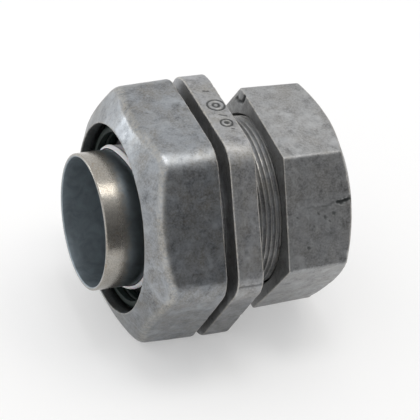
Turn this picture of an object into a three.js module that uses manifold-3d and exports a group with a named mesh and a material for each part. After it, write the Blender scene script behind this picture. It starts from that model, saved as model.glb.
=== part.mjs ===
// Liquid-tight flexible conduit to EMT compression coupling, trade size 1-1/4.
//
// Millimetres, +Z up. The fitting lies along X on the flats of its hexagons: the ferrule and the
// gland nut are at -X, the EMT compression nut is at +X. The origin is on the axis, half way along.
// Distances called x below are measured along the axis from the mouth of the ferrule.

import * as THREE from 'three';
import { mergeVertices } from 'three/addons/utils/BufferGeometryUtils.js';
import Module from 'manifold-3d';

const wasm = await Module();
wasm.setup();

// ---------------------------------------------------------------- driving dimensions

const LENGTH = 63.8;                // ferrule mouth to the back of the compression nut
const GAP = 0.3;                   // air between pieces that touch on the real fitting
const SIDES = 40;                  // facets round a turned surface
const THREAD_SIDES = 30;           // facets round a thread
const CORE = 0.4;                  // a plain core lies this far under the roots of its thread

const ferrule = {
  outer: 17.25, wall: 0.9,         // fits a conduit bore of 35.1 to 35.8
  floor: 23.4, base: 24.6,         // floor of the cup that takes the end of the conduit
  cupInner: 21.5, cupOuter: 22.4, cupLip: 18.6,
};

const gland = {
  front: 7, back: 25.7,
  flats: 59.5, draft: 0.03, cornerRadius: 7.5,
  bore: 23.8, rim: 24.5, lipEnd: 9.6,
  domeSlope: 0.57,                 // axial fall of the front cone for each millimetre of radius
  seatOuter: 25.2, seatEnd: 12.4,
};
const glandThread = { pitch: 25.4 / 16, crest: 25.4, root: 24.45 };

const body = {
  front: 16.5, flangeFront: 28.45, flangeBack: 35.25, back: 55,
  flats: 59.5, cornerRadius: 8, edge: 0.5,
  pocket: 22.75, pocketFloor: 24.9,
  throat: 16.9, stop: 37.4,
  socket: 19.35, mouth: 20.25, mouthDepth: 1.8,
  neck: 21.5, neckEnd: 38.4,
};
const emtThread = { pitch: 25.4 / 20, crest: 21.5, root: 20.75 };

const compression = {
  front: 44.25, back: LENGTH,
  flats: 50.4, draft: 0.028, cornerRadius: 1.2,
  turned: 3,                       // degrees round the axis from the flange
  countersink: 22.2, countersinkDepth: 0.9,
  threadEnd: 56.8, lip: 61.4, bore: 19.8, backLand: 21.2,
};

const collar = { front: 8.3, beadAt: 9.2, back: 12.3, inner: 17.55, bead: 18.4, sleeve: 18 };
const sealing = { front: 10.15, back: 14.3, inner: 21.35, outer: 24.4, nose: 22.55, heel: 22.3 };
const gripRing = { front: 55.7, back: 59, inner: 19.45, outer: 20.8, nose: 19.7, bevel: 1.4, slot: 2.4 };
const washer = { front: 59.3, thickness: 0.5, inner: 19.5, outer: 20.8 };
const rainSeal = { front: 60.1, back: 61.1, inner: 19.3, outer: 20.8 };

// ---------------------------------------------------------------- geometry helpers

// Merges a geometry's vertices, drops its flat triangles and returns it as a solid facing out.
function solid(geometry) {
  geometry.deleteAttribute('normal');
  geometry.deleteAttribute('uv');
  const merged = mergeVertices(geometry, 1e-4);
  const position = merged.attributes.position;
  const triangles = [];
  let volume = 0;
  const corner = [0, 1, 2].map(() => new THREE.Vector3());
  for (let i = 0; i < merged.index.count; i += 3) {
    const [a, b, c] = [0, 1, 2].map((k) => merged.index.getX(i + k));
    if (a === b || b === c || c === a) continue;
    triangles.push(a, b, c);
    [a, b, c].forEach((v, k) => corner[k].fromBufferAttribute(position, v));
    volume += corner[0].dot(corner[1].cross(corner[2]));
  }
  if (volume < 0) triangles.reverse();
  return new wasm.Manifold(new wasm.Mesh({
    numProp: 3,
    vertProperties: new Float32Array(position.array),
    triVerts: new Uint32Array(triangles),
  }));
}

// Turns [x, radius] points round the axis. The profile closes on itself or ends on the axis.
function turned(points, sides = SIDES) {
  const profile = points.map(([x, r]) => new THREE.Vector2(r, x));
  const geometry = new THREE.LatheGeometry(profile, sides);
  return solid(geometry.rotateZ(-Math.PI / 2));
}

// A ring: the outline is closed back to its first point.
const ring = (points, sides) => turned([...points, points[0]], sides);

// A rod or a hole: the outline is closed along the axis.
const rod = (points, sides) => turned([[points[0][0], 0], ...points, [points.at(-1)[0], 0]], sides);

// Distance from the axis to the tip of a hexagon's rounded corner.
function cornerReach(flats, cornerRadius) {
  return (flats / 2 - cornerRadius) / Math.cos(Math.PI / 6) + cornerRadius;
}

// A hexagonal bar with rounded corners, its flats drawn in by `draft` from the end at `wide`.
function hexagon({ from, to, wide, flats, draft = 0, cornerRadius }) {
  const arcSteps = 6;
  const centre = cornerReach(flats, cornerRadius) - cornerRadius;
  const outline = [];
  for (let k = 0; k < 6; k += 1) {
    const corner = k * Math.PI / 3;
    for (let s = 0; s <= arcSteps; s += 1) {
      const a = corner + (s / arcSteps - 0.5) * Math.PI / 3;
      outline.push(new THREE.Vector2(
        centre * Math.cos(corner) + cornerRadius * Math.cos(a),
        centre * Math.sin(corner) + cornerRadius * Math.sin(a),
      ));
    }
  }
  const shape = new THREE.Shape(outline);
  const bar = new THREE.ExtrudeGeometry(shape, { depth: to - from, bevelEnabled: false });
  bar.translate(0, 0, from);
  const position = bar.attributes.position;
  for (let i = 0; i < position.count; i += 1) {
    const x = position.getZ(i);
    const shrink = 1 - draft * Math.abs(x - wide) / (flats / 2);
    position.setXYZ(i, x, position.getX(i) * shrink, position.getY(i) * shrink);
  }
  return solid(bar);
}

// A rod with a right-hand thread that fades into its root radius over one pitch at each end.
// The thread's rows follow the helix: even rows are roots and odd rows are crests.
function threadedRod({ from, to, pitch, crest, root }) {
  const first = 2 * Math.floor(from / pitch - 1);
  const last = 2 * Math.ceil(to / pitch) + 2;
  const rows = last - first + 1;
  const position = [];
  for (let m = first; m <= last; m += 1) {
    for (let i = 0; i < THREAD_SIDES; i += 1) {
      const turn = i / THREAD_SIDES;
      const x = THREE.MathUtils.clamp((m / 2 + turn) * pitch, from, to);
      const fade = Math.min(1, (x - from) / pitch, (to - x) / pitch);
      const radius = m % 2 === 0 ? root : root + fade * (crest - root);
      position.push(x, radius * Math.cos(turn * 2 * Math.PI), radius * Math.sin(turn * 2 * Math.PI));
    }
  }
  const startCentre = position.length / 3;
  position.push(from, 0, 0, to, 0, 0);

  const vertex = (row, i) => {
    if (i < THREAD_SIDES) return row * THREAD_SIDES + i;
    return Math.min(row + 2, rows - 1) * THREAD_SIDES;
  };
  const index = [];
  for (let i = 0; i < THREAD_SIDES; i += 1) {
    for (let row = 0; row < rows - 1; row += 1) {
      const [a, b] = [vertex(row, i), vertex(row, i + 1)];
      const [c, d] = [vertex(row + 1, i + 1), vertex(row + 1, i)];
      index.push(a, b, c, a, c, d);
    }
    index.push(startCentre, vertex(0, i + 1), vertex(0, i));
    index.push(startCentre + 1, vertex(rows - 1, i), vertex(rows - 1, i + 1));
  }
  const geometry = new THREE.BufferGeometry();
  geometry.setAttribute('position', new THREE.Float32BufferAttribute(position, 3));
  geometry.setIndex(index);
  return solid(geometry);
}

// ---------------------------------------------------------------- turned pieces

function makeFerrule() {
  const f = ferrule;
  const bore = f.outer - f.wall;
  return ring([
    [0, bore + 0.3], [0, f.outer - 0.3], [0.3, f.outer],
    [f.floor, f.outer], [f.floor, f.cupInner], [f.cupLip, f.cupInner],
    [f.cupLip, f.cupOuter], [f.base, f.cupOuter], [f.base, bore + 0.6],
    [f.base - 0.6, bore], [0.3, bore],
  ]);
}

function makeNylonCollar() {
  const c = collar;
  return ring([
    [c.front, c.inner], [c.front, c.inner + 0.15], [c.front + 0.3, c.bead - 0.3],
    [c.beadAt, c.bead], [c.beadAt + 0.4, c.bead - 0.1], [c.beadAt + 0.8, c.sleeve],
    [c.back, c.sleeve], [c.back, c.inner],
  ]);
}

function makeSealingRing() {
  const s = sealing;
  const shoulder = s.front + 1.9;
  return ring([
    [s.front, s.inner], [s.front, s.nose], [shoulder, s.outer],
    [s.back - 1.3, s.outer], [s.back, s.heel], [s.back, s.inner],
  ]);
}

function makeCompressionRing() {
  const g = gripRing;
  const whole = ring([
    [g.front, g.inner], [g.front, g.nose], [g.front + g.bevel, g.outer],
    [g.back - 0.3, g.outer], [g.back, g.outer - 0.3], [g.back, g.inner],
  ]);
  const slot = new THREE.BoxGeometry(20, g.slot, 20);
  slot.translate((g.front + g.back) / 2, 0, g.inner);
  return whole.subtract(solid(slot));
}

function makeSlipWasher() {
  const w = washer;
  const back = w.front + w.thickness;
  return ring([[w.front, w.inner], [w.front, w.outer], [back, w.outer], [back, w.inner]]);
}

function makeRainSeal() {
  const r = rainSeal;
  return ring([
    [r.front, r.inner], [r.front, r.outer - 0.2], [r.front + 0.2, r.outer],
    [r.back - 0.2, r.outer], [r.back, r.outer - 0.2], [r.back, r.inner],
  ]);
}

// ---------------------------------------------------------------- cast pieces

// The body: a hexagonal flange between two threaded spigots, bored through.
function makeBody() {
  const b = body;
  const flange = hexagon({
    from: b.flangeFront, to: b.flangeBack, wide: b.flangeFront,
    flats: b.flats, cornerRadius: b.cornerRadius,
  });
  const tip = cornerReach(b.flats, b.cornerRadius);
  const broken = rod([
    [b.flangeFront, tip - b.edge - 1], [b.flangeFront + b.edge, tip],
    [b.flangeBack - b.edge, tip], [b.flangeBack, tip - b.edge - 1],
  ]);
  const conduitSpigot = threadedRod({ from: b.front + 0.3, to: b.flangeFront + 0.3, ...glandThread });
  const emtSpigot = threadedRod({ from: b.neckEnd - 1, to: b.back, ...emtThread });
  const core = rod([
    [b.front, glandThread.root - 0.6], [b.front + 0.6, glandThread.root - CORE],
    [b.flangeFront + 0.2, glandThread.root - CORE], [b.flangeFront + 0.2, b.neck],
    [b.flangeBack, b.neck], [b.neckEnd, emtThread.root - CORE], [b.back, emtThread.root - CORE],
  ]);
  const passage = rod([
    [b.front - 1, b.pocket + 1.6], [b.front, b.pocket + 1.1], [b.front + 1.3, b.pocket],
    [b.pocketFloor, b.pocket], [b.pocketFloor, b.throat + 0.6], [b.pocketFloor + 0.6, b.throat],
    [b.stop - 0.5, b.throat], [b.stop, b.throat + 0.5], [b.stop, b.socket],
    [b.back - b.mouthDepth, b.socket], [b.back, b.mouth], [b.back + 1, b.mouth],
  ]);
  return flange.intersect(broken).add(core).add(conduitSpigot).add(emtSpigot).subtract(passage);
}

// The gland nut: drafted hexagon under a coned front, with the sealing ring's seat and a thread.
function makeGlandNut() {
  const g = gland;
  const hexBar = hexagon({
    from: g.front, to: g.back, wide: g.back,
    flats: g.flats, draft: g.draft, cornerRadius: g.cornerRadius,
  });
  const reach = cornerReach(g.flats, g.cornerRadius) + 1;
  const cone = rod([
    [g.front, g.rim], [g.front + g.domeSlope * (reach - g.rim), reach],
    [g.back - 0.6, reach], [g.back, reach - 1.6],
  ]);
  const major = glandThread.crest + GAP;
  const minor = glandThread.root + GAP;
  const thread = threadedRod({
    from: g.seatEnd + 1, to: g.back + 3 * glandThread.pitch, pitch: glandThread.pitch,
    crest: major, root: minor,
  });
  const inside = rod([
    [g.front - 1, g.bore + 0.45], [g.front, g.bore + 0.45], [g.front + 0.7, g.bore],
    [g.lipEnd, g.bore], [g.seatEnd, g.seatOuter],
    [g.seatEnd + 0.5, major], [g.seatEnd + 3.1, major], [g.seatEnd + 4, minor - CORE],
    [g.back - 1.4, minor - CORE], [g.back, major + 0.2], [g.back + 1, major + 0.2],
  ]);
  return hexBar.intersect(cone).subtract(inside).subtract(thread);
}

// The compression nut: drafted hexagon with a coned back and a lip that closes on the rings.
function makeCompressionNut() {
  const c = compression;
  const hexBar = hexagon({
    from: c.front, to: c.back, wide: c.front,
    flats: c.flats, draft: c.draft, cornerRadius: c.cornerRadius,
  });
  const reach = cornerReach(c.flats, c.cornerRadius) + 1;
  const flatEnd = c.back - 1.7;
  const backSlope = 0.52;
  const flatRadius = c.flats / 2 - 0.5;
  const cone = rod([
    [c.front, reach - 1.2], [c.front + 0.4, reach], [flatEnd - backSlope * (reach - flatRadius), reach],
    [flatEnd, flatRadius], [c.back - 0.4, c.backLand + 0.7], [c.back, c.backLand],
  ]);
  const minor = emtThread.root + GAP;
  const thread = threadedRod({
    from: c.front - 3 * emtThread.pitch, to: c.threadEnd + 0.8, pitch: emtThread.pitch,
    crest: emtThread.crest + GAP, root: minor,
  });
  const inside = rod([
    [c.front - 1, c.countersink], [c.front, c.countersink],
    [c.front + c.countersinkDepth + 0.6, minor - CORE], [c.threadEnd - 0.5, minor - CORE],
    [c.threadEnd, minor + 0.1], [c.lip - 0.5, minor + 0.1], [c.lip, minor - 0.4], [c.lip, c.bore],
    [c.back - 0.4, c.bore], [c.back, c.bore + 0.4], [c.back + 1, c.bore + 0.4],
  ]);
  return hexBar.intersect(cone).subtract(inside).subtract(thread);
}

// ---------------------------------------------------------------- assembly

const castZinc = (color, roughness) => ({ color, roughness, metalness: 0.85 });
const finishes = {
  body: castZinc(0x8b8d8f, 0.5),
  glandNut: castZinc(0x8d9195, 0.45),
  compressionNut: castZinc(0x989997, 0.55),
  ferrule: { color: 0x9a9488, roughness: 0.32, metalness: 0.95 },
  nylon: { color: 0xd9d7d6, roughness: 0.45, metalness: 0 },
  sealRubber: { color: 0x1b211f, roughness: 0.6, metalness: 0 },
  springSteel: { color: 0xa9abad, roughness: 0.35, metalness: 0.95 },
  washerSteel: { color: 0xb5b6b4, roughness: 0.35, metalness: 0.95 },
};

const fitting = new THREE.Group();

function add(name, piece, finish) {
  const mesh = piece.getMesh();
  const geometry = new THREE.BufferGeometry();
  geometry.setAttribute('position', new THREE.Float32BufferAttribute(mesh.vertProperties, 3));
  geometry.setIndex(new THREE.Uint32BufferAttribute(mesh.triVerts, 1));
  geometry.computeVertexNormals();
  const placed = new THREE.Mesh(geometry, new THREE.MeshStandardMaterial(finish));
  placed.name = name;
  placed.position.x = -LENGTH / 2;
  fitting.add(placed);
  return placed;
}

add('body', makeBody(), finishes.body);
add('gland_nut', makeGlandNut(), finishes.glandNut);
add('ferrule', makeFerrule(), finishes.ferrule);
add('nylon_collar', makeNylonCollar(), finishes.nylon);
add('sealing_ring', makeSealingRing(), finishes.sealRubber);
add('compression_ring', makeCompressionRing(), finishes.springSteel);
add('slip_washer', makeSlipWasher(), finishes.washerSteel);
add('rain_seal_ring', makeRainSeal(), finishes.sealRubber);

const compressionNut = add('compression_nut', makeCompressionNut(), finishes.compressionNut);
compressionNut.rotation.x = THREE.MathUtils.degToRad(compression.turned);

export default fitting;
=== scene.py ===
"""Looks of the conduit compression fitting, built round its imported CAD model.

Tables are in millimetres and Blender works in metres. A station is a distance along the axis from
the mouth of the ferrule. Angles round the axis start at +Y and turn towards +Z, so the side that
faces the camera is at 180 degrees.
"""

import math

import bmesh
import bpy
import numpy as np
from mathutils import Matrix, Vector, noise


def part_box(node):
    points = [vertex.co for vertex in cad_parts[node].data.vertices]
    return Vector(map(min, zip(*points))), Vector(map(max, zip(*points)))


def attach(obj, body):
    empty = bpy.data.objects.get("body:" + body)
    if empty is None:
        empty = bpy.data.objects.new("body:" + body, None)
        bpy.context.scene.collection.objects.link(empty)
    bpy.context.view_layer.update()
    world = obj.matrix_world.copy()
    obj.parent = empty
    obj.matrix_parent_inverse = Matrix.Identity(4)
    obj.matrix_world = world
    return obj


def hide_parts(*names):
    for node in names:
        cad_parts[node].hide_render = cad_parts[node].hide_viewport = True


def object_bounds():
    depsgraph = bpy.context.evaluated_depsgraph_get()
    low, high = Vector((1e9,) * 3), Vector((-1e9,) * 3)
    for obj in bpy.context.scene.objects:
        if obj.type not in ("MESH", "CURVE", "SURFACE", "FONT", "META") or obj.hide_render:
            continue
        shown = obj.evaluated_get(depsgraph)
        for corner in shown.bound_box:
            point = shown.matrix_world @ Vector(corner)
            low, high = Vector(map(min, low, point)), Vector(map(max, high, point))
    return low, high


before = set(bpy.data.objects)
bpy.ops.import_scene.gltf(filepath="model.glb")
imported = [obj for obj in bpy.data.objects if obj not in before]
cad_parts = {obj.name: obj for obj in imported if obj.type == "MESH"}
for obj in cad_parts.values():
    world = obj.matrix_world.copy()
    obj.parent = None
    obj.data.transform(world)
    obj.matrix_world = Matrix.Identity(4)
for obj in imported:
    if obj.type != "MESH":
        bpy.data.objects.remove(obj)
cad_low, cad_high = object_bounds()

MM = 0.001
FULL_TURN = 2 * math.pi
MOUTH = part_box("ferrule")[0].x


# ---------------------------------------------------------------- sizes

def stations(node):
    """First and last station of a CAD node."""
    low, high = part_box(node)
    return (low.x - MOUTH) / MM, (high.x - MOUTH) / MM


def half_height(node):
    """Half the height of a CAD node: half the width across flats where its flats lie level."""
    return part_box(node)[1].z / MM


GLAND_FRONT, GLAND_BACK = stations("gland_nut")
NUT_FRONT, NUT_BACK = stations("compression_nut")
BODY_FRONT, BODY_BACK = stations("body")
FLANGE_FRONT, FLANGE_BACK = 28.45, 35.25
NUT_FLATS = 25.2                        # half the width across flats of the compression nut
NUT_TURNED = math.radians(3)            # the nut's hexagon is turned this far from the body's
BODY_CORNER, NUT_CORNER = 8.0, 1.2      # radii of the hexagons' corners
GLAND_THREAD = {"pitch": 25.4 / 16, "crest": 25.4, "root": 24.45}
EMT_THREAD = {"pitch": 25.4 / 20, "crest": 21.5, "root": 20.75}
THREAD_ROOT, THREAD_FLANK = 0.09, 0.3   # half the root's flat and one flank, as shares of the pitch
THREAD_PLAY = 0.3                       # between a nut's thread and the body's
CROWN = 0.2                             # how far the middle of a cast flat stands above its ends
TUBE = {"outer": 17.25, "bore": 16.35}


# ---------------------------------------------------------------- outlines

def point(x, r, fillet=0.0, span=1, edge=0.0, arc=5):
    """A corner of an outline: its fillet, the steps to the next corner and how worn its edge is."""
    return {"x": x, "r": r, "fillet": fillet, "span": span, "edge": edge, "arc": arc}


def outline(points, columns, closed=True):
    """Rows of (x, r, wear), each an array over the columns, along a profile with rounded corners."""
    count = len(points)
    corners = [np.stack([p["x"] + 0 * columns, p["r"] + 0 * columns]) for p in points]
    entries, exits = [], []
    for i, p in enumerate(points):
        before, after = corners[i - 1] - corners[i], corners[(i + 1) % count] - corners[i]
        if not closed and i in (0, count - 1):
            before, after = 0 * before, 0 * after
        for side, found in ((before, entries), (after, exits)):
            length = np.maximum(np.hypot(*side), 1e-6)
            reach = np.minimum(p["fillet"], 0.46 * length)
            found.append(corners[i] + side / length * reach)
    rows = []
    for i, p in enumerate(points):
        steps = p["arc"] if p["fillet"] else 0
        for k in range(steps + 1):
            t = k / steps if steps else 0.5
            place = (1 - t) ** 2 * entries[i] + 2 * t * (1 - t) * corners[i] + t ** 2 * exits[i]
            rows.append((place[0], place[1], p["edge"] * 4 * t * (1 - t) + 0 * columns))
        if closed or i < count - 1:
            here, there = exits[i], entries[(i + 1) % count]
            for k in range(1, p["span"]):
                place = here + (there - here) * k / p["span"]
                rows.append((place[0], place[1], 0 * columns))
    return rows


def thread(start, end, pitch, crest, root, columns, fade=None, per_pitch=8):
    """Rows of a right-hand thread. A row follows the helix, so its last column is one pitch ahead.
    With a `fade` the thread grows from nothing over its first length and dies out over its second."""
    turn = columns / FULL_TURN
    rows = []
    first = math.floor((start / pitch - 1) * per_pitch)
    last = math.ceil(end / pitch * per_pitch)
    for m in range(first, last + 1):
        x = np.clip((m / per_pitch + turn) * pitch, start, end)
        along = (x / pitch - turn) % 1
        height = np.clip((0.5 - np.abs(along - 0.5) - THREAD_ROOT) / THREAD_FLANK, 0, 1)
        if fade:
            height = height * np.clip(np.minimum((x - start) / fade[0], (end - x) / fade[1]), 0, 1)
        rows.append((x, root + height * (crest - root), np.maximum(0.0, height * 2 - 1.5)))
    return rows


def reverse(rows):
    return rows[::-1]


# ---------------------------------------------------------------- hexagons

def hexagon_columns(flat_steps, corner_steps, corner_width, fine=None):
    """Angles round the axis, closer together at the six corners. `fine` gives a side more steps."""
    half, side = math.radians(corner_width) / 2, math.pi / 3
    angles = []
    for k in range(6):
        steps = (fine or {}).get(k, flat_steps)
        start = k * side
        angles.append(np.linspace(start, start + half, corner_steps, endpoint=False))
        angles.append(np.linspace(start + half, start + side - half, steps, endpoint=False))
        angles.append(np.linspace(start + side - half, start + side, corner_steps, endpoint=False))
    return np.append(np.concatenate(angles), FULL_TURN)


def round_columns(steps):
    return np.linspace(0, FULL_TURN, steps + 1)


def from_corner(columns):
    """Angle from the nearest corner of a hexagon whose corners are at multiples of 60 degrees."""
    return np.abs((columns + math.pi / 6) % (math.pi / 3) - math.pi / 6)


def hexagon(columns, flats, corner, crown=0.0):
    """Radius of a hexagon with rounded corners, from half its width across flats. The middle of each
    side stands `crown` above its ends."""
    off = from_corner(columns)
    centre = (flats - corner) / math.cos(math.pi / 6)
    tangent = np.arctan2(corner / 2, centre + corner * math.cos(math.pi / 6))
    flat = flats / np.cos(math.pi / 6 - off)
    arc = centre * np.cos(off) + np.sqrt(np.maximum(corner ** 2 - (centre * np.sin(off)) ** 2, 0))
    middle = math.pi / 6 - off
    return np.where(off < tangent, arc, flat) - crown * (middle / (math.pi / 6)) ** 2


def drafted(columns, x, wide, flats, draft, corner):
    """Radius at station x of a hexagon that narrows by `draft` away from the station `wide`."""
    shrink = 1 - draft * np.abs(x - wide) / flats
    return hexagon(columns, flats, corner, CROWN) * shrink


# ---------------------------------------------------------------- meshes

def piece(name, node, body, material, rows, columns, turned=0.0, closed=True, ends=False):
    """Makes the rows into a mesh round the axis, which stands for the CAD node."""
    x = np.array([row[0] for row in rows])
    r = np.array([row[1] + 0 * columns for row in rows])
    wear = np.array([row[2] + 0 * columns for row in rows])
    angle = columns + turned
    verts = np.stack([MOUTH + x * MM, r * np.cos(angle) * MM, r * np.sin(angle) * MM], axis=-1)
    height, width = x.shape
    number = np.arange(height * width).reshape(height, width)
    below = np.roll(number, -1, axis=0) if closed else number[1:]
    above = number if closed else number[:-1]
    faces = np.stack([above[:, :-1], above[:, 1:], below[:, 1:], below[:, :-1]], axis=-1).reshape(-1, 4)
    faces = faces.tolist()
    if ends:
        faces += [number[:, 0].tolist(), number[::-1, -1].tolist()]
    mesh = bpy.data.meshes.new(name)
    mesh.from_pydata(verts.reshape(-1, 3).tolist(), [], faces)
    mesh.attributes.new("wear", "FLOAT", "POINT")
    # A second layer holds painted shade, which the zinc materials mix in as near black.
    mesh.attributes.new("painted_shade", "FLOAT", "POINT")
    write_layer(mesh, "wear", wear)
    tidy(mesh)
    mesh.materials.append(material)
    made = bpy.data.objects.new(name, mesh)
    bpy.context.scene.collection.objects.link(made)
    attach(made, body)
    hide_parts(node)
    return made


def read_layer(mesh, name):
    values = np.zeros(len(mesh.vertices), np.float32)
    mesh.attributes[name].data.foreach_get("value", values)
    return values


def write_layer(mesh, name, values):
    mesh.attributes[name].data.foreach_set("value", np.asarray(values, np.float32).reshape(-1))


def tidy(mesh, weld=1e-6):
    """Welds the seam and the ends of threads, turns the faces outward and shades them smooth."""
    bm = bmesh.new()
    bm.from_mesh(mesh)
    bmesh.ops.remove_doubles(bm, verts=bm.verts, dist=weld)
    bmesh.ops.dissolve_degenerate(bm, edges=bm.edges, dist=weld)
    bmesh.ops.recalc_face_normals(bm, faces=bm.faces)
    if bm.calc_volume(signed=True) < 0:
        bmesh.ops.reverse_faces(bm, faces=bm.faces)
    bm.to_mesh(mesh)
    bm.free()
    mesh.shade_smooth()
    mesh.set_sharp_from_angle(angle=math.radians(42))


def skin(mesh):
    """Positions in millimetres and normals of a mesh's vertices."""
    count = len(mesh.vertices)
    places, normals = np.zeros(count * 3, np.float32), np.zeros(count * 3, np.float32)
    mesh.vertices.foreach_get("co", places)
    mesh.vertex_normals.foreach_get("vector", normals)
    return places.reshape(-1, 3) / MM, normals.reshape(-1, 3)


def move_skin(mesh, places):
    mesh.vertices.foreach_set("co", (places * MM).astype(np.float32).reshape(-1))
    mesh.update()


def cast_skin(made, swell, nick, seed):
    """Moves a casting's skin a little: slow waves all over, and nicks along its worn edges."""
    places, normals = skin(made.data)
    wear = read_layer(made.data, "wear")
    shift = Vector((seed, 0, 0))
    moves = []
    for place, w in zip(map(Vector, places), wear):
        move = swell * noise.noise(place * 0.16 + shift) + swell * 0.4 * noise.noise(place * 0.5 + shift)
        if w > 0.05:
            move -= nick * w * max(0.0, noise.noise(place * 0.9 - shift) - 0.12)
        moves.append(move)
    move_skin(made.data, places + normals * np.array(moves)[:, None])


def relief(made, path, width, height, ragged=0.0, painted_shade=0.0):
    """Raises a rounded line along a path of points, or presses it in where `height` is negative.
    Painted shade, as strong as the last argument, darkens the line and a little of the metal beside it."""
    places, normals = skin(made.data)
    shade_values = read_layer(made.data, "painted_shade")
    spots = np.array(path, np.float32)
    start, run = spots[:-1], spots[1:] - spots[:-1]
    reach = 3 * width
    inside = np.all((places > spots.min(0) - reach) & (places < spots.max(0) + reach), axis=1)
    moves = np.zeros(len(places))
    for i in np.flatnonzero(inside):
        along = np.clip(((places[i] - start) * run).sum(1) / np.maximum((run ** 2).sum(1), 1e-9), 0, 1)
        gap = np.linalg.norm(places[i] - start - run * along[:, None], axis=1).min()
        local = width * (1 + ragged * noise.noise(Vector(places[i]) * 1.7))
        moves[i] = height * math.exp(-(gap / local) ** 4)
        shade_values[i] = max(shade_values[i], painted_shade * math.exp(-(gap / (1.3 * local)) ** 4))
    write_layer(made.data, "painted_shade", shade_values)
    move_skin(made.data, places + normals * moves[:, None])


def paint_shade_between(made, start, end, amount, blend=12.0):
    """Painted shade that darkens and roughens the faces between two angles round the axis, in degrees."""
    places = skin(made.data)[0]
    turn = np.degrees(np.arctan2(places[:, 2], places[:, 1])) % 360
    cover = np.clip(np.minimum(turn - start, end - turn) / blend, 0, 1)
    write_layer(made.data, "painted_shade", np.maximum(read_layer(made.data, "painted_shade"), amount * cover))


def on_axis(station):
    """X in millimetres of a station."""
    return MOUTH / MM + station


def on_skin(station, radius, angle):
    """A point at an angle round the axis, in degrees."""
    turn = math.radians(angle)
    return on_axis(station), radius * math.cos(turn), radius * math.sin(turn)


def loop(centre, size, steps=20):
    """A closed round path on a level face."""
    turns = [FULL_TURN * k / steps for k in range(steps + 1)]
    return [(centre[0] + size * math.cos(t), centre[1] + size * math.sin(t), centre[2]) for t in turns]


# ---------------------------------------------------------------- materials

class Recipe:
    """A node material under construction. Its patterns are laid out in millimetres on the object."""

    def __init__(self, name):
        self.material = bpy.data.materials.new(name)
        self.material.use_nodes = True
        self.tree = self.material.node_tree
        self.tree.nodes.clear()
        self.output = self.tree.nodes.new("ShaderNodeOutputMaterial")
        place = self.tree.nodes.new("ShaderNodeTexCoord").outputs["Object"]
        self.place = self.vector(place, (1 / MM, 1 / MM, 1 / MM))

    def node(self, kind, inputs, **settings):
        made = self.tree.nodes.new(kind)
        for key, value in settings.items():
            setattr(made, key, value)
        for key, value in inputs.items():
            if isinstance(value, bpy.types.NodeSocket):
                self.tree.links.new(value, made.inputs[key])
            else:
                made.inputs[key].default_value = value
        return made

    def vector(self, source, scale):
        return self.node("ShaderNodeMapping", {"Vector": source, "Scale": scale}).outputs[0]

    def noise(self, size, detail=3.0, rough=0.55, warp=0.0, stretch=(1, 1, 1)):
        """Cloud noise from 0 to 1 whose blotches are about `size` millimetres across."""
        place = self.place if stretch == (1, 1, 1) else self.vector(self.place, stretch)
        inputs = {"Vector": place, "Scale": 1 / size}
        inputs.update({"Detail": detail, "Roughness": rough, "Distortion": warp})
        return self.node("ShaderNodeTexNoise", inputs).outputs["Fac"]

    def layer(self, name):
        """A value painted on the mesh: its wear or its painted shade."""
        return self.node("ShaderNodeAttribute", {}, attribute_name=name).outputs["Fac"]

    def radius(self):
        """Distance from the fitting's axis."""
        across = self.vector(self.place, (0, 1, 1))
        return self.node("ShaderNodeVectorMath", {0: across}, operation="LENGTH").outputs["Value"]

    def fit(self, value, low, high, to_low=0.0, to_high=1.0):
        inputs = {"Value": value, "From Min": low, "From Max": high, "To Min": to_low, "To Max": to_high}
        return self.node("ShaderNodeMapRange", inputs, clamp=True).outputs[0]

    def maths(self, operation, a, b=0.0):
        return self.node("ShaderNodeMath", {0: a, 1: b}, operation=operation).outputs[0]

    def mix(self, factor, a, b, blend="MIX"):
        made = self.tree.nodes.new("ShaderNodeMix")
        made.data_type = "RGBA"
        made.blend_type = blend
        for index, value in ((0, factor), (6, a), (7, b)):
            if isinstance(value, bpy.types.NodeSocket):
                self.tree.links.new(value, made.inputs[index])
            else:
                made.inputs[index].default_value = value if index == 0 else (*value, 1.0)
        return made.outputs[2]

    def bump(self, height, depth, under=None):
        """Relief `depth` millimetres high."""
        inputs = {"Height": height, "Distance": depth * MM, "Strength": 1.0}
        if under is not None:
            inputs["Normal"] = under
        return self.node("ShaderNodeBump", inputs).outputs[0]

    def finish(self, **sockets):
        inputs = {key.replace("_", " "): value for key, value in sockets.items()}
        shader = self.node("ShaderNodeBsdfPrincipled", inputs)
        self.tree.links.new(shader.outputs[0], self.output.inputs[0])
        return self.material


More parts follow.
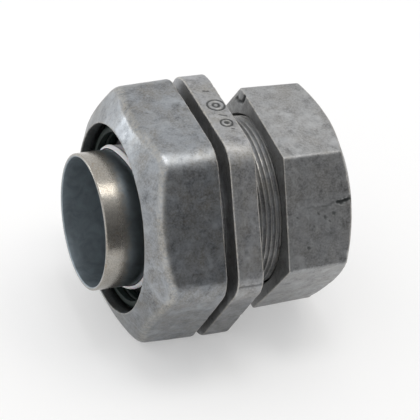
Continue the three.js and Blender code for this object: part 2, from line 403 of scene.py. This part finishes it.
def cast_zinc(name, cool, warm, dark, grain, roughness, bore):
    """Die-cast zinc: blotches of two tints, dark staining, pale bloom and specks, and rubbed edges.
    Painted shade makes it near black inside the radius `bore` and where its painted shade layer is set."""
    z = Recipe(name)
    tint = z.fit(z.noise(6.5, 5, 0.62, 0.3), 0.38, 0.62)
    colour = z.mix(tint, cool, warm)
    stain = z.fit(z.noise(3.6, 6, 0.68, 0.25), 0.48, 0.68)
    colour = z.mix(z.maths("MULTIPLY", stain, 0.9), colour, dark)
    bloom = z.fit(z.noise(4.6, 5, 0.6, 0.5), 0.52, 0.68)
    colour = z.mix(z.maths("MULTIPLY", bloom, 0.6), colour, tuple(c * 1.55 for c in cool))
    speck = z.fit(z.noise(0.5, 4, 0.65), 0.36, 0.64)
    colour = z.mix(z.maths("MULTIPLY", speck, 0.45), colour, tuple(c * 1.6 for c in cool))
    patchy = z.fit(z.noise(0.9, 5, 0.7), 0.38, 0.6)
    rubbed = z.maths("MULTIPLY", z.layer("wear"), patchy)
    colour = z.mix(z.maths("MULTIPLY", rubbed, 0.75), colour, (0.62, 0.58, 0.50))
    # Painted shade: near black inside the radius `bore` and wherever the mesh's painted shade layer asks for
    # it; it also roughens the metal.
    inside = z.fit(z.radius(), bore - 0.3, bore, 0.75, 0.0)
    shade_cover = z.maths("MAXIMUM", z.layer("painted_shade"), inside)
    colour = z.mix(shade_cover, colour, (0.035, 0.04, 0.04))
    rough = z.fit(z.noise(2.0, 5, 0.62), 0.3, 0.7, roughness - 0.07, roughness + 0.09)
    rough = z.maths("SUBTRACT", rough, z.maths("MULTIPLY", rubbed, 0.12))
    rough = z.maths("ADD", rough, z.maths("MULTIPLY", shade_cover, 0.3))
    surface = z.bump(z.noise(0.4, 4, 0.68), grain)
    surface = z.bump(z.noise(2.4, 3, 0.5), grain * 2.4, surface)
    return z.finish(Base_Color=colour, Metallic=1.0, Roughness=rough, Normal=surface)


def plated_steel(name):
    """Thin drawn steel: warm and bright near the mouth. Further back and in the bore it is painted slate,
    a painted dark reflection, and the cup is painted near black as shade."""
    s = Recipe(name)
    station = s.node("ShaderNodeSeparateXYZ", {0: s.place}).outputs["X"]
    # Painted dark reflection: behind a ragged line between stations 4.9 and 6.7, and in the bore, the steel
    # is coloured slate.
    ragged = s.maths("ADD", station, s.fit(s.noise(2.2, 5, 0.7, 0.5), 0.3, 0.7, -0.9, 0.9))
    painted_dark_reflection = s.fit(ragged, on_axis(4.9), on_axis(6.7))
    inside = s.fit(s.radius(), TUBE["bore"] + 0.1, TUBE["outer"] - 0.3, 1.0, 0.0)
    tint = s.fit(s.noise(4.5, 4, 0.6, 0.5), 0.38, 0.64)
    colour = s.mix(tint, (0.31, 0.298, 0.275), (0.25, 0.23, 0.20))
    speck = s.fit(s.noise(0.45, 4, 0.7), 0.34, 0.66)
    colour = s.mix(s.maths("MULTIPLY", speck, 0.6), colour, (0.50, 0.475, 0.43))
    rust = s.fit(s.noise(2.0, 5, 0.7, 1.0), 0.58, 0.72)
    colour = s.mix(s.maths("MULTIPLY", rust, 0.5), colour, (0.25, 0.17, 0.09))
    slate = s.mix(s.fit(s.noise(3.5, 5, 0.62, 0.6), 0.36, 0.66), (0.34, 0.39, 0.425), (0.25, 0.285, 0.31))
    colour = s.mix(s.maths("MAXIMUM", inside, painted_dark_reflection), colour, slate)
    # Painted shade: the cup, deep in the gland nut, is coloured near black.
    cup = s.fit(s.radius(), TUBE["outer"] + 0.8, TUBE["outer"] + 2.4, 0.0, 0.92)
    colour = s.mix(cup, colour, (0.02, 0.025, 0.025))
    drawn = s.noise(0.6, 5, 0.6, stretch=(3, 0.5, 0.5))
    rough = s.fit(drawn, 0.3, 0.7, 0.17, 0.27)
    worn = s.fit(station, on_axis(3.2), on_axis(6.2), 0.0, 0.15)
    matt = s.maths("MAXIMUM", s.maths("MULTIPLY", inside, 0.3), worn)
    rough = s.maths("ADD", rough, matt)
    surface = s.bump(drawn, 0.003)
    surface = s.bump(s.noise(0.4, 4, 0.68), 0.014, surface)
    surface = s.bump(s.noise(1.3, 4, 0.55), 0.02, surface)
    return s.finish(Base_Color=colour, Metallic=1.0, Roughness=rough, Normal=surface)


def spring_steel(name):
    s = Recipe(name)
    lines = s.noise(0.3, 3, 0.6, stretch=(1, 0.2, 0.2))
    colour = s.mix(s.noise(3.0, 3), (0.60, 0.61, 0.62), (0.50, 0.49, 0.47))
    return s.finish(Base_Color=colour, Metallic=1.0, Roughness=s.fit(lines, 0.3, 0.7, 0.25, 0.42),
                    Normal=s.bump(lines, 0.006))


def white_nylon(name):
    n = Recipe(name)
    colour = n.mix(n.noise(2.5, 4, 0.6), (0.83, 0.82, 0.83), (0.70, 0.69, 0.70))
    rough = n.fit(n.noise(0.8, 3), 0.3, 0.7, 0.38, 0.55)
    return n.finish(Base_Color=colour, Metallic=0.0, Roughness=rough, Subsurface_Weight=0.15,
                    Subsurface_Scale=0.4 * MM, Normal=n.bump(n.noise(0.5, 3), 0.01))


def seal_rubber(name):
    r = Recipe(name)
    colour = r.mix(r.noise(1.8, 4, 0.6), (0.006, 0.014, 0.012), (0.016, 0.026, 0.022))
    rough = r.fit(r.noise(0.7, 3), 0.3, 0.7, 0.5, 0.68)
    return r.finish(Base_Color=colour, Metallic=0.0, Roughness=rough, Specular_IOR_Level=0.25,
                    Normal=r.bump(r.noise(0.35, 3), 0.012))


GLAND_ZINC = cast_zinc(
    "zinc_gland_nut", cool=(0.255, 0.268, 0.283), warm=(0.20, 0.192, 0.178), dark=(0.10, 0.105, 0.112),
    grain=0.016, roughness=0.38, bore=24.1)
BODY_ZINC = cast_zinc(
    "zinc_body", cool=(0.325, 0.33, 0.34), warm=(0.275, 0.266, 0.248), dark=(0.14, 0.14, 0.143),
    grain=0.018, roughness=0.5, bore=20.2)
NUT_ZINC = cast_zinc(
    "zinc_compression_nut", cool=(0.305, 0.31, 0.315), warm=(0.26, 0.255, 0.246), dark=(0.14, 0.14, 0.14),
    grain=0.05, roughness=0.48, bore=21.9)
STEEL = plated_steel("plated_steel")
SPRING = spring_steel("spring_steel")
NYLON = white_nylon("white_nylon")
RUBBER = seal_rubber("seal_rubber")


# ---------------------------------------------------------------- pieces

def gland_nut():
    """Hexagon with a coned front that ends in a rounded lip round the mouth."""
    columns = hexagon_columns(22, 14, 14)
    corner, draft, cone = 7.5, 0.03, 0.57
    lip, bore, rim = 7.0, 23.8, 24.3
    flats = half_height("gland_nut")

    def side(x):
        return drafted(columns, x, GLAND_BACK, flats, draft, corner)

    crease = GLAND_FRONT + cone * (side(GLAND_FRONT + 4) - rim)
    major, minor = GLAND_THREAD["crest"] + THREAD_PLAY, GLAND_THREAD["root"] + THREAD_PLAY
    rows = outline([
        point(9.6, bore, span=3),
        point(lip, bore + 0.1, fillet=0.6, span=11, edge=0.5, arc=6),
        point(crease, side(crease), fillet=1.7, span=12, edge=0.45, arc=9),
        point(GLAND_BACK, side(GLAND_BACK), fillet=0.5, span=2, edge=0.8),
        point(GLAND_BACK, 27.6, fillet=0.3, edge=0.4),
        point(GLAND_BACK - 0.7, 26.6, fillet=0.3, edge=0.6),
        point(GLAND_BACK - 0.7, major + 0.2), point(GLAND_BACK - 1.3, minor),
    ], columns, closed=False)
    rows += reverse(thread(16.0, GLAND_BACK - 1.4, GLAND_THREAD["pitch"], major, minor, columns))
    rows += outline([
        point(15.9, major), point(12.9, major), point(12.4, major - 0.5),
    ], columns, closed=False)
    made = piece("gland_nut_casting", "gland_nut", "gland_nut", GLAND_ZINC, rows, columns)
    cast_skin(made, 0.06, 0.35, 11)
    # Painted shade darkens the lower faces, from 186 to 330 degrees round the axis.
    paint_shade_between(made, 186, 330, 0.16)
    # A pressed scratch, darkened by painted shade in its groove.
    scratch = [(9.05, 29.2, 120), (9.4, 29.6, 121), (9.3, 29.6, 122), (9.8, 30.1, 122.5)]
    relief(made, [on_skin(*spot) for spot in scratch], 0.2, -0.12, 0.5, painted_shade=0.5)
    return made


def body():
    """Hexagonal flange between two threaded spigots, with the bore that runs through them."""
    columns = hexagon_columns(18, 10, 15, fine={1: 130})
    throat, socket, pocket = 16.9, 19.35, 22.75
    conduit_stop, tube_stop = 24.9, 36.9
    flats = half_height("body")
    hexed = hexagon(columns, flats, BODY_CORNER)
    root, neck = GLAND_THREAD["root"], EMT_THREAD["crest"]
    rows = outline([
        point(conduit_stop, throat + 0.6, span=3), point(conduit_stop, pocket, fillet=0.4),
        point(BODY_FRONT + 1.3, pocket),
        point(BODY_FRONT, pocket + 1.1, fillet=0.2, edge=0.6), point(BODY_FRONT + 0.6, root),
    ], columns, closed=False)
    rows += thread(BODY_FRONT + 0.6, FLANGE_FRONT - 0.3, columns=columns, fade=(1.2, 1.0), **GLAND_THREAD)
    rows += outline([
        point(FLANGE_FRONT, root, span=3),
        point(FLANGE_FRONT, hexed, fillet=0.45, span=44, edge=0.7),
        point(FLANGE_BACK, hexed, fillet=0.45, span=4, edge=0.9),
        point(FLANGE_BACK, neck + 0.9, fillet=0.5, span=1), point(FLANGE_BACK + 1.2, neck, fillet=0.4),
    ], columns, closed=False)
    rows += thread(FLANGE_BACK + 1.6, BODY_BACK - 0.2, columns=columns, fade=(0.2, 1.0), **EMT_THREAD)
    rows += outline([
        point(BODY_BACK, EMT_THREAD["root"] - 0.15, span=1), point(BODY_BACK, socket + 0.9),
        point(BODY_BACK - 1.8, socket), point(tube_stop + 0.5, socket),
        point(tube_stop + 0.5, throat + 0.5, fillet=0.1), point(tube_stop, throat),
        point(conduit_stop + 0.6, throat),
    ], columns, closed=False)
    made = piece("body_casting", "body", "body", BODY_ZINC, rows, columns)
    cast_skin(made, 0.05, 0.35, 23)
    # Painted shade darkens the body's lower faces, from 184 to 330 degrees round the axis.
    paint_shade_between(made, 184, 330, 0.36)
    mould_marks(made, flats)
    return made


def mould_marks(made, level):
    """Cavity marks on the flange's top face, pits below them, and the line where the mould parted."""
    ring, small = (on_axis(32.6), 1.75, level), (on_axis(32.45), -5.85, level)
    pressed = [(ring, 2.2, 0.22), (ring, 0.8, 0.25), (small, 1.5, 0.22), (small, 0.25, 0.35)]
    # The pressed rings and strokes, the pits and the parting line are darkened by painted shade in and
    # beside their grooves.
    for centre, size, stroke in pressed:
        relief(made, loop(centre, size), stroke, -0.2, 0.3, painted_shade=0.75)
    for centre, size, stroke in ((ring, 1.5, 0.2), (small, 0.9, 0.16)):
        relief(made, loop(centre, size), stroke, 0.12)
    relief(made, [(on_axis(31.7), 8.15, level), (on_axis(32.9), 7.85, level)], 0.22, -0.2, 0.3, painted_shade=0.7)
    relief(made, [(on_axis(32.0), -2.3, level), (on_axis(33.5), -3.1, level)], 0.22, -0.2, 0.3, painted_shade=0.7)
    relief(made, [(on_axis(32.9), -8.4, level), (on_axis(33.3), -8.6, level)], 0.25, -0.2, 0.3, painted_shade=0.6)
    pits = [(33.9, 150.6, 0.35), (33.0, 153.2, 0.35), (32.1, 161.3, 0.4), (30.9, 164.2, 0.45),
            (33.2, 161.6, 0.3), (30.8, 137, 0.3), (30.7, 169, 0.35)]
    for station, angle, size in pits:
        radius = float(hexagon(np.radians([angle]), level, BODY_CORNER)[0])
        spot = [on_skin(station, radius, angle), on_skin(station + 0.3, radius, angle + 0.4)]
        relief(made, spot, size, -0.2, 0.8, painted_shade=0.55)
    line = [on_skin(FLANGE_FRONT + 0.6 * k, 33.1, 179.9 + 0.3 * math.sin(1.7 * k)) for k in range(1, 12)]
    relief(made, line, 0.22, -0.15, 0.4, painted_shade=0.5)


def compression_nut():
    """Smaller hexagon with square front edges and a coned back that closes on the rings."""
    columns = hexagon_columns(22, 8, 6, fine={1: 60, 2: 110})
    draft, cone = 0.028, 0.53
    bore, land = 19.8, 21.2
    back_edge, back_radius = NUT_BACK - 1.7, NUT_FLATS - 0.5

    def side(x):
        return drafted(columns, x, NUT_FRONT, NUT_FLATS, draft, NUT_CORNER)

    crease = back_edge - cone * (side(back_edge) - back_radius)
    major, minor = EMT_THREAD["crest"] + THREAD_PLAY, EMT_THREAD["root"] + THREAD_PLAY
    rows = outline([
        point(NUT_FRONT + 1.0, major - 0.1),
        point(NUT_FRONT, major + 0.4, fillet=0.15, span=18, edge=0.4),
        point(NUT_FRONT, side(NUT_FRONT), fillet=0.4, span=50, edge=0.6),
        point(crease, side(crease), fillet=0.5, span=4, edge=0.6),
        point(NUT_BACK - 0.4, land + 0.7, fillet=0.4, edge=0.3),
        point(NUT_BACK, land, fillet=0.1, span=2),
        point(NUT_BACK, bore + 0.4), point(NUT_BACK - 0.4, bore), point(61.4, bore, span=1),
        point(61.4, minor - 0.4), point(60.9, minor + 0.1), point(57.0, minor + 0.1),
    ], columns, closed=False)
    rows += reverse(thread(NUT_FRONT + 1.2, 56.5, EMT_THREAD["pitch"], major, minor, columns + NUT_TURNED))
    made = piece("compression_nut_casting", "compression_nut", "compression_nut",
                 NUT_ZINC, rows, columns, turned=NUT_TURNED)
    cast_skin(made, 0.05, 0.4, 37)
    casting_faults(made)
    return made


def casting_faults(made):
    """A ticked line on the front, and a cold shut, a seam and pits on the side that faces the camera."""
    # Painted shade darkens the ticked line, the cold shut, the seam and the pits, and a little of the metal
    # beside them.
    tick = [(14.3, 21.8), (12.6, 21.9), (10.6, 22.9), (9.9, 24.2), (9.75, 25.2)]
    relief(made, [(on_axis(NUT_FRONT), y, z) for y, z in tick], 0.36, -0.35, painted_shade=0.7)
    face = 24.9
    shut = [(62.2, 148.2), (60.4, 148.7), (59.2, 149.6), (58.5, 149.0)]
    seam = [(58.5, 149.0), (57.0, 149.3), (55.4, 150.7), (54.0, 150.3), (52.4, 150.9), (51.3, 149.6),
            (50.2, 150.2)]
    relief(made, [on_skin(x, face, angle) for x, angle in shut], 0.5, -0.4, 0.7, painted_shade=0.9)
    relief(made, [on_skin(x, face, angle) for x, angle in seam], 0.3, -0.1, 0.9, painted_shade=0.45)
    pits = [(54.7, 156.9, 0.4), (57.2, 155.3, 0.35), (52.9, 154.0, 0.25), (47.1, 155.1, 0.25),
            (55.9, 159.4, 0.2), (49.9, 172.5, 0.35), (51.5, 161.0, 0.22)]
    for station, angle, size in pits:
        radius = float(hexagon(np.radians([angle]) - NUT_TURNED, NUT_FLATS - 0.25, NUT_CORNER)[0])
        spot = [on_skin(station, radius, angle), on_skin(station + 0.2, radius, angle + 0.5)]
        relief(made, spot, size, -0.22, 0.8, painted_shade=0.7)


def ferrule():
    """Thin tube with a rolled lip, and the cup that holds the end of the conduit."""
    columns = round_columns(160)
    outer, bore = TUBE["outer"], TUBE["bore"]
    floor, cup_inner, cup_outer, cup_lip = 23.4, 21.5, 22.4, 18.6
    rows = outline([
        point(0, bore, fillet=0.4, edge=1), point(0, outer, fillet=0.42, edge=1, span=14),
        point(floor, outer, fillet=0.5), point(floor, cup_inner, fillet=0.5, span=2),
        point(cup_lip, cup_inner, fillet=0.35), point(cup_lip, cup_outer, fillet=0.35, span=3),
        point(floor + 1.2, cup_outer, fillet=0.6), point(floor + 1.2, bore + 0.6, fillet=0.2),
        point(floor + 0.6, bore, fillet=0.3, span=14),
    ], columns)
    return piece("ferrule_tube", "ferrule", "ferrule", STEEL, rows, columns)


def nylon_collar():
    """A beaded sleeve whose front edge is set back on the side that faces the camera."""
    columns = round_columns(128)
    inner, bead, sleeve = 17.5, 18.4, 18.0
    front, back = stations("nylon_collar")
    worn_side, worn_width, worn_depth = math.radians(165), math.radians(75), 2.6
    front = front + worn_depth * np.exp(-((columns - worn_side) / worn_width) ** 4)
    rows = outline([
        point(front, inner, fillet=0.1), point(front, inner + 0.25, fillet=0.12),
        point(front + 0.8, bead, fillet=0.3), point(front + 1.7, sleeve, fillet=0.15, span=3),
        point(back, sleeve, fillet=0.15), point(back, inner, span=4),
    ], columns)
    return piece("nylon_ring", "nylon_collar", "nylon_collar", NYLON, rows, columns)


def sealing_ring():
    columns = round_columns(128)
    front, back = stations("sealing_ring")
    inner, outer, nose, heel = 21.35, 24.4, 22.55, 22.3
    rows = outline([
        point(front, inner, fillet=0.2), point(front, nose, fillet=0.15),
        point(front + 1.9, outer, fillet=0.3), point(back - 1.3, outer, fillet=0.3),
        point(back, heel, fillet=0.15), point(back, inner, fillet=0.2),
        point(back - 1.6, inner, fillet=0.1), point(back - 2.0, inner + 0.35, fillet=0.1),
        point(front + 2.0, inner + 0.35, fillet=0.1), point(front + 1.6, inner, fillet=0.1),
    ], columns)
    return piece("bevelled_seal", "sealing_ring", "sealing_ring", RUBBER, rows, columns)


def compression_ring():
    """A ring with a slot through its top."""
    inner, outer, nose, bevel, slot = 19.45, 20.8, 19.7, 1.4, 2.4
    front, back = stations("compression_ring")
    half = math.asin(slot / 2 / outer)
    columns = np.linspace(math.pi / 2 + half, math.pi / 2 + FULL_TURN - half, 121)
    rows = outline([
        point(front, inner, fillet=0.1), point(front, nose, fillet=0.1),
        point(front + bevel, outer, fillet=0.3),
        point(back, outer, fillet=0.25), point(back, inner, fillet=0.15),
        point(back - 1.2, inner, fillet=0.05), point(back - 1.35, inner + 0.15), point(back - 1.5, inner),
    ], columns)
    return piece("grip_ring", "compression_ring", "compression_rings", SPRING, rows, columns,
                 ends=True)


def slip_washer():
    columns = round_columns(128)
    front, back = stations("slip_washer")
    rows = outline([
        point(front, 19.5, fillet=0.12), point(front, 20.8, fillet=0.12),
        point(back, 20.8, fillet=0.12), point(back, 19.5, fillet=0.12),
    ], columns)
    return piece("steel_washer", "slip_washer", "compression_rings", SPRING, rows, columns)


def rain_seal():
    columns = round_columns(128)
    front, back = stations("rain_seal_ring")
    rows = outline([
        point(front, 19.3, fillet=0.3), point(front, 20.8, fillet=0.3),
        point(back, 20.8, fillet=0.3), point(back, 19.3, fillet=0.3),
    ], columns)
    return piece("rain_seal", "rain_seal_ring", "compression_rings", RUBBER, rows, columns)


gland_nut()
body()
compression_nut()
ferrule()
nylon_collar()
sealing_ring()
compression_ring()
slip_washer()
rain_seal()


# ---------------------------------------------------------------- studio

def around(azimuth, elevation):
    """Direction from the fitting: azimuth 0 is towards -Y and 90 towards +X, in degrees."""
    a, e = math.radians(azimuth), math.radians(elevation)
    return Vector((math.sin(a) * math.cos(e), -math.cos(a) * math.cos(e), math.sin(e)))


def paper_floor():
    """White paper on a light table, which keeps the shadow on it faint."""
    bm = bmesh.new()
    bmesh.ops.create_grid(bm, x_segments=8, y_segments=8, size=6.0)
    mesh = bpy.data.meshes.new("paper_floor")
    bm.to_mesh(mesh)
    bm.free()
    floor = bpy.data.objects.new("paper_floor", mesh)
    floor.location.z = cad_low.z
    paper = Recipe("white_paper")
    colour = paper.mix(paper.noise(900.0, 2), (0.62, 0.62, 0.62), (0.60, 0.60, 0.60))
    mesh.materials.append(paper.finish(Base_Color=colour, Roughness=0.9, Emission_Color=(1.0, 1.0, 1.0, 1.0),
                                       Emission_Strength=0.36))
    bpy.context.scene.collection.objects.link(floor)


def soft_light(name, azimuth, elevation, distance, size, radiance, tint=(1, 1, 1)):
    """A square soft box. Its power follows from how bright its face is to look like."""
    light = bpy.data.lights.new(name, "AREA")
    light.shape = "SQUARE"
    light.size = size
    light.energy = radiance * math.pi * size ** 2
    light.color = tint
    made = bpy.data.objects.new(name, light)
    direction = around(azimuth, elevation)
    made.location = direction * distance
    made.rotation_euler = direction.to_track_quat("Z", "Y").to_euler()
    made.visible_camera = False
    bpy.context.scene.collection.objects.link(made)


def dark_card(azimuth, distance, width, height):
    """A dark card that stands on the floor in front. The camera doesn't see it."""
    direction = around(azimuth, 0)
    across = direction.cross(Vector((0, 0, 1)))
    foot = direction * distance + Vector((0, 0, cad_low.z))
    bm = bmesh.new()
    corners = [foot + across * width * side + Vector((0, 0, height * up))
               for side, up in ((-0.5, 0), (0.5, 0), (0.5, 1), (-0.5, 1))]
    bm.faces.new([bm.verts.new(corner) for corner in corners])
    mesh = bpy.data.meshes.new("dark_card")
    bm.to_mesh(mesh)
    bm.free()
    card = bpy.data.objects.new("dark_card", mesh)
    velvet = Recipe("black_velvet")
    shade = velvet.mix(velvet.noise(20.0, 2), (0.13, 0.135, 0.14), (0.16, 0.16, 0.165))
    mesh.materials.append(velvet.finish(Base_Color=shade, Roughness=1.0))
    card.visible_camera = False
    bpy.context.scene.collection.objects.link(card)


def sky():
    """Even light from all round, falling off towards the dark side in front."""
    world = bpy.data.worlds.new("studio")
    bpy.context.scene.world = world
    world.use_nodes = True
    tree = world.node_tree
    tree.nodes.clear()
    place = tree.nodes.new("ShaderNodeTexCoord").outputs["Generated"]
    facing = tree.nodes.new("ShaderNodeVectorMath")
    facing.operation = "DOT_PRODUCT"
    facing.inputs[1].default_value = around(21, 14)
    tree.links.new(place, facing.inputs[0])
    ramp = tree.nodes.new("ShaderNodeMapRange")
    ramp.interpolation_type = "SMOOTHSTEP"
    for key, value in {"From Min": 0.45, "From Max": 0.93, "To Min": 1.22, "To Max": 0.31}.items():
        ramp.inputs[key].default_value = value
    tree.links.new(facing.outputs["Value"], ramp.inputs["Value"])
    light = tree.nodes.new("ShaderNodeBackground")
    tree.links.new(ramp.outputs[0], light.inputs["Strength"])
    output = tree.nodes.new("ShaderNodeOutputWorld")
    tree.links.new(light.outputs[0], output.inputs[0])


def camera():
    """A long lens that looks down on the ferrule's side, tipped a little."""
    distance, lens, tip = 0.5646, 194.8, math.radians(8.52)
    aim = Vector((MOUTH, 0, 0)) + Vector((29.6, -9.63, 6.154)) * MM
    back = around(-26.51, 36.73)
    made = bpy.data.objects.new("camera", bpy.data.cameras.new("camera"))
    made.data.lens = lens
    made.data.sensor_width = 36
    made.data.clip_start, made.data.clip_end = 0.1, 20
    made.location = aim + back * distance
    level = back.to_track_quat("Z", "Y").to_matrix()
    made.rotation_euler = (level @ Matrix.Rotation(tip, 3, "Z")).to_euler()
    bpy.context.scene.collection.objects.link(made)
    bpy.context.scene.camera = made


paper_floor()
sky()
soft_light("overhead", 82, 69, 0.9, 0.29, 2.5, (1.0, 0.94, 0.85))
soft_light("zenith", 0, 89, 1.0, 0.3, 5.0)
soft_light("rear_left", -135, 2, 0.7, 0.19, 5.4, (0.95, 0.98, 1.0))
dark_card(21, 0.14, 0.12, 0.105)
camera()
bpy.context.scene.view_settings.view_transform = "Standard"
